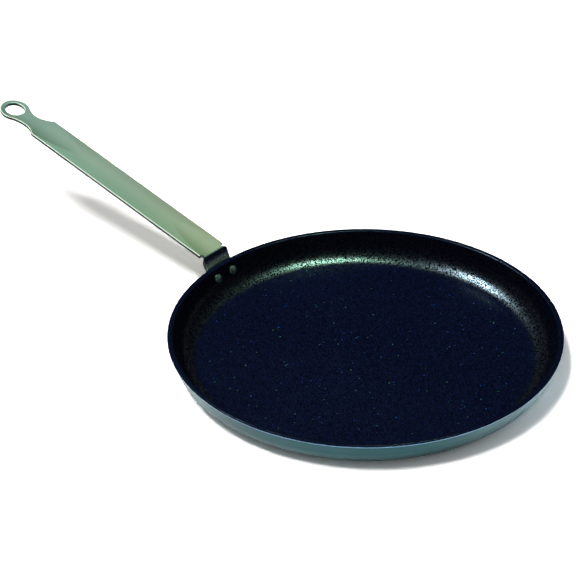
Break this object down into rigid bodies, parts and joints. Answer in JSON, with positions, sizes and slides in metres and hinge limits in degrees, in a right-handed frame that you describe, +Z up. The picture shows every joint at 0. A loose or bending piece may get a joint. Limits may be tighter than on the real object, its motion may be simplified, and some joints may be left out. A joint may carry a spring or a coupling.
{
  "type": "crepe pan",
  "caption": "Shallow round aluminium crepe pan with a low flared wall, a dark speckled non-stick lining and a riveted steel strip handle that ends in a hanging eye.",
  "frame": {"origin": "centre of the flat base, on the surface that the pan stands on", "axes": "+Z up out of the dish, the handle runs out along -X, +Y across the handle"},
  "size_m": [0.5423, 0.3, 0.0921],
  "materials": {
    "body_aluminium": "satin, dark blue-grey anodised look",
    "lining": "speckled non-stick coat with a low gloss",
    "handle_steel": "satin grey-green lacquer over steel strip",
    "rivet_aluminium": "satin, set by a domed tool"
  },
  "bodies": {
    "root": {"pan_body": "body_aluminium", "nonstick_coating": "lining", "handle": "handle_steel", "rivet_left": "rivet_aluminium", "rivet_right": "rivet_aluminium"}
  },
  "joints": []
}
